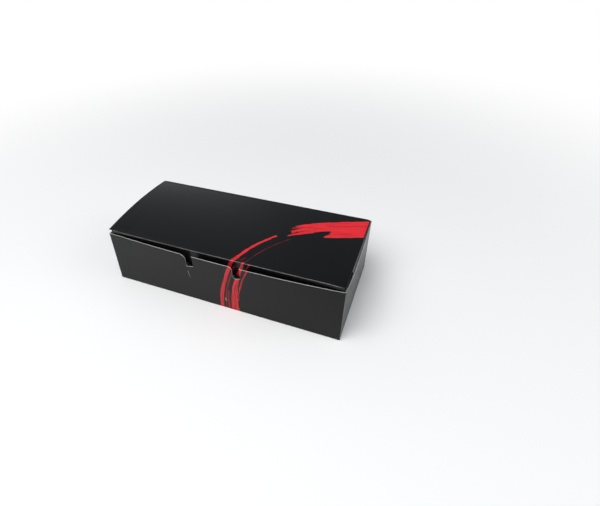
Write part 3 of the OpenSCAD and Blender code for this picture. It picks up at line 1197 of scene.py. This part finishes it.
@dataclass
class Lid:
    """The lid: its panel, the tuck flap along its front and a flap at each side."""

    sizes: LidSizes
    hinge: Vector
    raised: float
    end_h: float
    flap_limit: Callable[[float, float, float], float]
    board: Board = field(default_factory=Board)
    grid: float = 3 * MM
    # The side flaps bend over this length, and have a finer grid there
    bent_l: float = 3 * MM
    fine_grid: float = 0.5 * MM
    # How softly a side flap comes to lie against its end wall
    soft: float = 0.12 * MM
    # Where the lid's own sheet starts, in front of the hinge line
    start: float = 0.9 * MM
    # How far the front corners turn down before they are cut
    corner_turn: float = math.radians(62)

    @property
    def panel(self) -> float:
        """Distance from the hinge line to the front fold."""
        return self.sizes.reach - self.board.fold_r

    @property
    def flat_half(self) -> float:
        """Half the panel's length, between the side folds."""
        return self.sizes.half - self.board.fold_r

    @property
    def front_arc(self) -> float:
        """Length of the front fold along its outer face."""
        return self.board.fold_r * (math.pi / 2 + self.sizes.tuck_lean)

    def arch(self, x: float, y: float) -> float:
        """Returns the height of the arch, full at the left end, less the front edge's sag and droop.

        Args:
            x: place along the lid.
            y: place across it, 0 at the hinge line and negative towards the front.

        Returns:
            The height above the flat lid.
        """
        s = self.sizes
        share = min(1.0, max(0.0, (s.half - x) / (2 * s.half)))
        half = self.panel / 2 - s.flat_edge
        arch = s.arch_h * share ** s.arch_fade * max(0.0, 1 - ((y + self.panel / 2) / half) ** 2)
        left = min(1.0, max(0.0, (x + s.half + s.sag_past) / s.sag_rise))
        along = max(0.0, 1 - ((x - s.sag_x) / s.sag_half) ** 2) * left
        across = min(1.0, max(0.0, -y / self.panel - s.sag_back) / (1 - s.sag_back))
        right = max(0.0, (x - s.half + s.droop_l) / s.droop_l)
        corner = right * max(0.0, (-y - self.panel + s.droop_l) / s.droop_l)
        return arch - s.sag_h * along * across * across - s.droop_h * min(1.0, corner) ** 2

    def bend(self, out: float, full: float, depth: float) -> Point:
        """Returns how far out and up a place past a fold lies.

        Args:
            out: distance past the fold's start, on the flat sheet.
            full: the whole angle that the fold turns by.
            depth: depth below the printed face.

        Returns:
            The distance out from the fold's start, and the height from the hinge line.
        """
        r = self.board.fold_r
        inner = r - depth
        turn = min(out / r, full)
        rest = max(0.0, out - full * r)
        return (inner * math.sin(turn) + rest * math.cos(turn),
            self.board.thick / 2 - r + inner * math.cos(turn) - rest * math.sin(turn))

    def set_down(self, place: Vector) -> Vector:
        """Returns where a place of the flat lid lies on the box."""
        return self.hinge + Matrix.Rotation(-self.raised, 3, "X") @ place

    def side_face(self, end: float, out: float, y: float, rise: float) -> Point:
        """Returns a place on a side flap's outer face.

        The flap leans out from its fold to the end wall's top edge, and then follows
        the wall's inner face down.

        Args:
            end: -1 for the left flap, 1 for the right one.
            out: distance past the fold's start, on the flat sheet.
            y: place across the lid.
            rise: height of the lid's arch there.

        Returns:
            The distance out from the fold's start, and the height from the hinge line.
        """
        r = self.board.fold_r
        drop = self.hinge.z - self.end_h - y * math.sin(self.raised) + rise
        centre_up = self.board.thick / 2 - r
        edge = self.flap_limit(end, self.hinge.y + y, self.end_h) - self.flat_half
        low = -drop - centre_up
        full = math.asin(r / math.hypot(edge, low)) - math.atan2(low, edge)
        straight, up = self.bend(out, full, 0.0)
        if out < full * r:
            return straight, up
        place = self.set_down(Vector((0, y, up + rise)))
        limit = self.flap_limit(end, place.y, place.z) - self.flat_half
        off = abs(straight - limit)
        return min(straight, limit) - self.soft * math.log1p(math.exp(-off / self.soft)), up

    def fold(self, x: float, y: float, depth: float) -> Vector:
        """Folds the flat lid and sets it on its hinge line, raised as it rests.

        Args:
            x: place along the lid.
            y: place across it, 0 at the hinge line and negative towards the front.
            depth: depth below the printed face.

        Returns:
            The place in space.
        """
        s = self.sizes
        flat = self.board.thick / 2 - depth
        up = flat
        if -y > self.panel:
            out, high = self.bend(-y - self.panel, math.pi / 2 + s.tuck_lean, depth)
            y = -self.panel - out
            up += high - flat
        rise = self.arch(x, max(y, -self.panel))
        if abs(x) > self.flat_half:
            past, step, end = abs(x) - self.flat_half, 0.02 * MM, math.copysign(1.0, x)
            out, high = self.side_face(end, past, y, rise)
            before = self.side_face(end, max(0.0, past - step), y, rise)
            after = self.side_face(end, past + step, y, rise)
            run, climb = after[0] - before[0], after[1] - before[1]
            length = math.hypot(run, climb)
            out, high = out + depth * climb / length, high - depth * run / length
            x = math.copysign(self.flat_half + out, x)
            up += high - flat
        return self.set_down(Vector((x, y, up + rise)))

    def side_outline(self) -> list[Point]:
        """Returns the flat outline of the right side, from the front to the back.

        Returns:
            The outline's points.
        """
        s, r = self.sizes, self.board.fold_r
        edge = self.flat_half + r * self.corner_turn
        root = self.flat_half + self.board.arc_l
        depth = s.side_h
        front, back = s.side_front - s.reach, -s.side_back
        return [(edge, -self.panel), (edge, front), (root, front),
            (root + depth, front + depth * math.tan(s.side_front_taper)),
            (root + depth, back - depth * math.tan(s.side_back_taper)),
            (root, back), (edge, back), (edge, -self.start)]

    def tuck_outline(self) -> list[Point]:
        """Returns the flat outline of the tuck flap, from left to right.

        Returns:
            The outline's points.
        """
        s = self.sizes
        foot = self.panel + self.front_arc
        lip = self.panel + self.board.fold_r * self.corner_turn
        low, radius = foot + s.tuck_h, s.tuck_corner_r
        slant = (s.tuck_h - radius) * math.tan(s.tuck_taper)
        taper = math.degrees(s.tuck_taper)
        edge = self.side_outline()[0][0]
        left, right = s.tuck_left - s.half, s.half - s.tuck_right
        shape = [(-edge, -lip), (left, -lip), (left, -foot)]
        shape += arc((left + slant + radius, radius - low), radius, 180 + taper, 270, 8)
        shape += arc((right - slant - radius, radius - low), radius, 270, 360 - taper, 8)
        return shape + [(right, -foot), (right, -lip), (edge, -lip)]

    def outline(self) -> list[Point]:
        """Returns the whole flat outline, anticlockwise.

        Returns:
            The outline's points.
        """
        side = self.side_outline()
        return self.tuck_outline() + side + [(-x, y) for x, y in reversed(side)]

    def crease(self, x: float, y: float) -> float:
        """Returns how close a flat place is to a fold, from 0 to 1."""
        side = crest(abs(x), self.flat_half, self.board.arc_l)
        return max(crest(-y, self.panel, self.front_arc), 0.8 * side)

    def print_place(self, x: float, y: float) -> Point:
        """Returns a flat place's print coordinates, which run on from the lid over its folds."""
        return x, y + self.hinge.y

    def build(self, finishes: Finishes) -> bpy.types.Object:
        """Builds and dresses the lid.

        Args:
            finishes: the board's materials.

        Returns:
            The lid's object, riding on its body.
        """
        s = self.sizes
        root = self.flat_half + self.board.arc_l
        bent = root + self.bent_l
        u_lines = both_ways([*spaced(0, self.flat_half, self.grid),
            *fold_band(self.flat_half, self.board.arc_l),
            *spaced(root, bent, self.fine_grid), *spaced(bent, root + s.side_h, self.grid)])
        foot = self.panel + self.front_arc
        v_lines = distinct([*spaced(-self.start, s.flat_edge - self.panel, self.grid),
            *(-v for v in fold_band(self.panel, self.front_arc)),
            *spaced(-foot, -foot - s.tuck_h, self.grid)])
        blank = Blank("lid_sheet", self.outline(), u_lines, v_lines, self.fold, self.crease,
            self.print_place, True)
        mesh = blank.mesh()
        finishes.dress(mesh)
        piece = place_piece(mesh, "lid_sheet")
        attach(piece, "cover")
        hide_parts("lid", "lid_print")
        log.info("lid_sheet: %d faces", len(mesh.polygons))
        return piece


def swept_fold(graph: Graph, entry: Node) -> Sockets:
    """Adds a folded strip of board that runs along X.

    The strip goes up by Rise, turns towards -Y by Turn and goes on by Reach.

    Args:
        graph: the tree's graph.
        entry: its input node, with the strip's sizes in metres and its materials.

    Returns:
        The strip's Geometry.
    """
    get = entry.outputs
    bend = graph.times(get["Radius"], get["Turn"])
    whole = graph.plus(graph.plus(get["Rise"], bend), get["Reach"])
    grid = graph.node("GeometryNodeMeshGrid", {"Size X": get["Length"], "Size Y": 1.0,
        "Vertices X": get["Spans"], "Vertices Y": get["Steps"]}).outputs["Mesh"]
    flat = graph.node("ShaderNodeSeparateXYZ", {0: graph.node("GeometryNodeInputPosition").outputs[0]})
    along = graph.times(graph.minus(0.5, flat.outputs[1]), whole)
    past = graph.minus(along, get["Rise"])
    free_turn = graph.math("DIVIDE", past, get["Radius"])
    turn = graph.math("MINIMUM", graph.math("MAXIMUM", free_turn, 0.0), get["Turn"])
    rest = graph.math("MAXIMUM", graph.minus(past, bend), 0.0)
    inner = graph.minus(get["Radius"], get["Thickness"])

    def reach(shape: str, other: str, start: object, sign: str) -> Socket:
        """Returns one coordinate of the strip's inner face.

        Args:
            shape: the operation that gives the bend's curve.
            other: the one that gives the slope past the bend.
            start: where the bend starts.
            sign: how the straight part is joined on, ADD or SUBTRACT.

        Returns:
            The coordinate.
        """
        curve = graph.times(inner, graph.math(shape, turn))
        line = graph.times(rest, graph.math(other, get["Turn"]))
        return graph.math(sign, graph.plus(start, curve), line)

    y = reach("COSINE", "SINE", graph.minus(get["Wall Y"], get["Radius"]), "SUBTRACT")
    straight = graph.math("MINIMUM", along, get["Rise"])
    z = reach("SINE", "COSINE", graph.plus(get["Wall Z"], straight), "ADD")
    middle = graph.times(bend, 0.5)
    away = graph.math("ABSOLUTE", graph.minus(past, middle))
    off = graph.math("DIVIDE", away, graph.times(bend, CREST_REACH))
    # The crease gives the fold its wear, and near its middle the pale line of worn ink and painted highlight
    crease = graph.times(graph.math("MAXIMUM", graph.minus(1.0, off), 0.0), 0.9)
    marked = graph.node("GeometryNodeStoreNamedAttribute", {"Geometry": grid, "Name": "crease",
        "Value": crease}, data_type="FLOAT", domain="POINT").outputs[0]
    off_print = (OFF_PRINT / PRINT_UNIT, OFF_PRINT / PRINT_UNIT, 0.0)
    mapped = graph.node("GeometryNodeStoreNamedAttribute", {"Geometry": marked, "Name": "print",
        "Value": off_print}, data_type="FLOAT2", domain="CORNER").outputs[0]
    place = graph.node("ShaderNodeCombineXYZ", {0: flat.outputs[0], 1: y, 2: z}).outputs[0]
    skin = graph.node("GeometryNodeSetPosition", {"Geometry": mapped, "Position": place}).outputs[0]
    thick = graph.node("GeometryNodeExtrudeMesh", {"Mesh": skin, "Offset Scale": get["Thickness"],
        "Individual": False}, mode="FACES")
    back = graph.node("GeometryNodeFlipFaces", {"Mesh": skin}).outputs[0]
    joined = graph.node("GeometryNodeJoinGeometry")
    for part in (thick.outputs["Mesh"], back):
        graph.tree.links.new(part, joined.inputs[0])
    closed = graph.node("GeometryNodeMergeByDistance", {"Geometry": joined.outputs[0],
        "Distance": 0.001 * MM}).outputs[0]
    faces = graph.node("FunctionNodeBooleanMath", {0: thick.outputs["Side"]}, operation="NOT").outputs[0]
    smooth = graph.node("GeometryNodeSetShadeSmooth", {"Geometry": closed, "Selection": faces}).outputs[0]
    shape = graph.node("GeometryNodeRealizeInstances", {"Geometry": smooth}).outputs[0]
    for chosen, name in ((None, "Bare"), (thick.outputs["Top"], "Printed"), (thick.outputs["Side"], "Cut")):
        inputs = {"Geometry": shape, "Material": get[name]}
        if chosen is not None:
            inputs["Selection"] = chosen
        shape = graph.node("GeometryNodeSetMaterial", inputs).outputs[0]
    return {"Geometry": shape}


@dataclass
class BackFold:
    """The board that runs through the fold between the back wall and the lid."""

    half: float
    wall_top: Vector
    lid_back: Vector
    raised: float
    board: Board = field(default_factory=Board)
    spans: int = 40
    steps: int = 15

    def values(self, finishes: Finishes) -> dict[str, object]:
        """Returns the value of each of the tree's inputs.

        Args:
            finishes: the board's materials.

        Returns:
            The values, by the inputs' names.
        """
        r, turn = self.board.fold_r, math.pi / 2 - self.raised
        bent = Vector((0, self.wall_top.y - r + r * math.cos(turn), self.wall_top.z + r * math.sin(turn)))
        reach = (bent.y - self.lid_back.y) / math.sin(turn)
        rise = self.lid_back.z - reach * math.cos(turn) - bent.z
        return {"Length": 2 * self.half, "Radius": r, "Thickness": self.board.thick, "Turn": turn,
            "Rise": rise, "Reach": reach, "Wall Y": self.wall_top.y, "Wall Z": self.wall_top.z,
            "Spans": self.spans, "Steps": self.steps, "Printed": finishes.made[Face.PRINTED],
            "Bare": finishes.made[Face.BARE], "Cut": finishes.made[Face.CUT]}

    def build(self, finishes: Finishes) -> bpy.types.Object:
        """Builds the strip, which bends between the tray and the lid.

        Args:
            finishes: the board's materials.

        Returns:
            The strip's object.
        """
        values = self.values(finishes)
        kinds = {float: "NodeSocketFloat", int: "NodeSocketInt", bpy.types.Material: "NodeSocketMaterial"}
        inputs = {name: (kinds[type(value)], None) for name, value in values.items()}
        tree = node_group("swept_fold", inputs, {"Geometry": "NodeSocketGeometry"}, swept_fold,
            "GeometryNodeTree")
        piece = place_piece(bpy.data.meshes.new("back_fold"), "back_fold")
        sweep = piece.modifiers.new("sweep", "NODES")
        sweep.node_group = tree
        for socket in tree.interface.items_tree:
            if socket.in_out == "INPUT":
                sweep[socket.identifier] = values[socket.name]
        swept = piece.evaluated_get(bpy.context.evaluated_depsgraph_get())
        made = bpy.data.meshes.new_from_object(swept)
        piece.modifiers.clear()
        piece.data = made
        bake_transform(piece)
        log.info("back_fold: %d faces", len(made.polygons))
        return piece


@dataclass(frozen=True)
class Studio:
    """The floor, the lamps and the camera."""

    camera_mm: tuple[float, float, float] = (103.8, -211.1, 212.2)
    heading: float = 26.85
    down: float = 37.51
    roll: float = -4.23
    focal_px: float = 450.3
    axis_px: Point = (235.5, 236.2)
    floor_colour: Colour = (0.93, 0.925, 0.915)
    # Distances from the box between which the floor fades to white
    floor_fade: tuple[float, float] = (0.12, 0.5)
    room_colour: Colour = (0.82, 0.9, 1.0)
    room_strength: float = 0.24
    # Heights of a ray's direction between which the room fades to the white backdrop
    backdrop_fade: tuple[float, float] = (0.3, 0.18)

    def set_camera(self) -> None:
        """Adds the camera at the photograph's place."""
        data = bpy.data.cameras.new("camera")
        width, height = PHOTO_SIZE
        data.sensor_width = 36
        data.lens = self.focal_px / width * data.sensor_width
        data.shift_x = (width / 2 - self.axis_px[0]) / width
        data.shift_y = (self.axis_px[1] - height / 2) / width
        data.clip_start = 0.01
        camera = bpy.data.objects.new("camera", data)
        place = Matrix.Translation(Vector(self.camera_mm) * MM)
        for angle, axis in ((self.heading, "Z"), (90 - self.down, "X"), (self.roll, "Z")):
            place = place @ Matrix.Rotation(math.radians(angle), 4, axis)
        camera.matrix_world = place
        bpy.context.scene.collection.objects.link(camera)
        bpy.context.scene.camera = camera

    def lamp(self, name: str, place: tuple[float, float, float], size: tuple[float, float],
             power: float) -> None:
        """Adds a soft rectangular lamp that faces the box.

        Args:
            name: the lamp's name.
            place: where it stands, in metres.
            size: its width and height, in metres.
            power: its power in watts.
        """
        data = bpy.data.lights.new(name, "AREA")
        data.shape = "RECTANGLE"
        data.size, data.size_y = size
        data.energy = power
        lamp = bpy.data.objects.new(name, data)
        lamp.location = place
        lamp.rotation_euler = (-Vector(place)).to_track_quat("-Z", "Y").to_euler()
        bpy.context.scene.collection.objects.link(lamp)

    def seen(self, graph: Graph) -> Socket:
        """Returns 1 for the rays that show the background, and 0 for those that only light the box.

        Args:
            graph: the material's or the world's graph.

        Returns:
            The mask of those rays.
        """
        path = graph.node("ShaderNodeLightPath").outputs
        mirrored = graph.plus(path["Is Glossy Ray"], path["Is Transmission Ray"])
        return graph.math("ADD", path["Is Camera Ray"], mirrored, clamp=True)

    def set_floor(self) -> None:
        """Adds the pale floor that the box stands on, which fades to white away from it."""
        size = 4.0
        corners = [(-size, -size, 0), (size, -size, 0), (size, size, 0), (-size, size, 0)]
        mesh = bpy.data.meshes.new("floor")
        mesh.from_pydata(corners, [], [(0, 1, 2, 3)])
        material = bpy.data.materials.new("pale_floor")
        material.use_nodes = True
        shader = material.node_tree.nodes["Principled BSDF"]
        graph = Graph(material.node_tree)
        place = graph.node("ShaderNodeTexCoord").outputs["Object"]
        away = graph.vector("LENGTH", place).outputs["Value"]
        fade = graph.times(graph.ramp(away, *self.floor_fade), self.seen(graph))
        pale = graph.tint(fade, (*self.floor_colour, 1.0), (0.0, 0.0, 0.0, 1.0))
        graph.feed(shader.inputs["Base Color"], pale)
        shader.inputs["Emission Color"].default_value = (1.0, 1.0, 1.0, 1.0)
        graph.feed(shader.inputs["Emission Strength"], fade)
        shader.inputs["Roughness"].default_value = 0.9
        shader.inputs["Specular IOR Level"].default_value = 0.0
        mesh.materials.append(material)
        place_piece(mesh, "floor")

    def set_world(self) -> None:
        """Adds the plain surroundings: a white backdrop low down, and a dim room above."""
        world = bpy.data.worlds.new("studio")
        world.use_nodes = True
        graph = Graph(world.node_tree)
        background = world.node_tree.nodes["Background"]
        ray = graph.node("ShaderNodeSeparateXYZ", {0: graph.node("ShaderNodeTexCoord").outputs["Generated"]})
        low = graph.ramp(ray.outputs[2], *self.backdrop_fade)
        white = graph.times(low, self.seen(graph))
        colour = graph.tint(white, (*self.room_colour, 1.0), (1.0, 1.0, 1.0, 1.0))
        graph.feed(background.inputs["Color"], colour)
        graph.feed(background.inputs["Strength"], graph.blend(white, self.room_strength, 1.0))
        bpy.context.scene.world = world

    def build(self) -> None:
        """Builds the whole studio."""
        self.set_camera()
        self.set_floor()
        self.set_world()
        self.lamp("key_softbox", (-0.15, -0.45, 0.85), (0.8, 0.8), 9.0)
        self.lamp("back_softbox", (-0.8, 0.67, 0.6), (1.2, 0.7), 0.85)
        self.lamp("side_softbox", (0.9, 0.1, 0.5), (0.5, 0.8), 2.4)
        bpy.context.scene.view_settings.view_transform = "Standard"
        log.info("studio: floor, lamps, world and camera")


def main() -> None:
    """Builds the studio and every piece of the box."""
    low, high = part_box("tray")
    half_l, half_w = BOX_L / 2, high[1]
    tray_sizes = TraySizes(half_l, half_w, high[2], -low[1] - half_w, high[0] - half_l)
    hinge = Vector(frame["joints"][0]["pos_m"])
    finishes = Finishes()
    Studio().build()
    tray = Tray(tray_sizes)
    tray.build(finishes)
    lid_sizes = LidSizes(half=half_l + LID_PAST, reach=hinge.y + half_w - LID_SHORT)
    end_h = high[2] - tray_sizes.end_drop
    lid = Lid(lid_sizes, hinge, LID_RAISE, end_h, tray.flap_limit)
    lid.build(finishes)
    wall_top = Vector((0, half_w, high[2]))
    lid_back = lid.fold(0, -lid.start, 0)
    BackFold(tray.front_half - FOLD_SHORT, wall_top, lid_back, lid.raised).build(finishes)


if __name__ == "__main__":
    main()
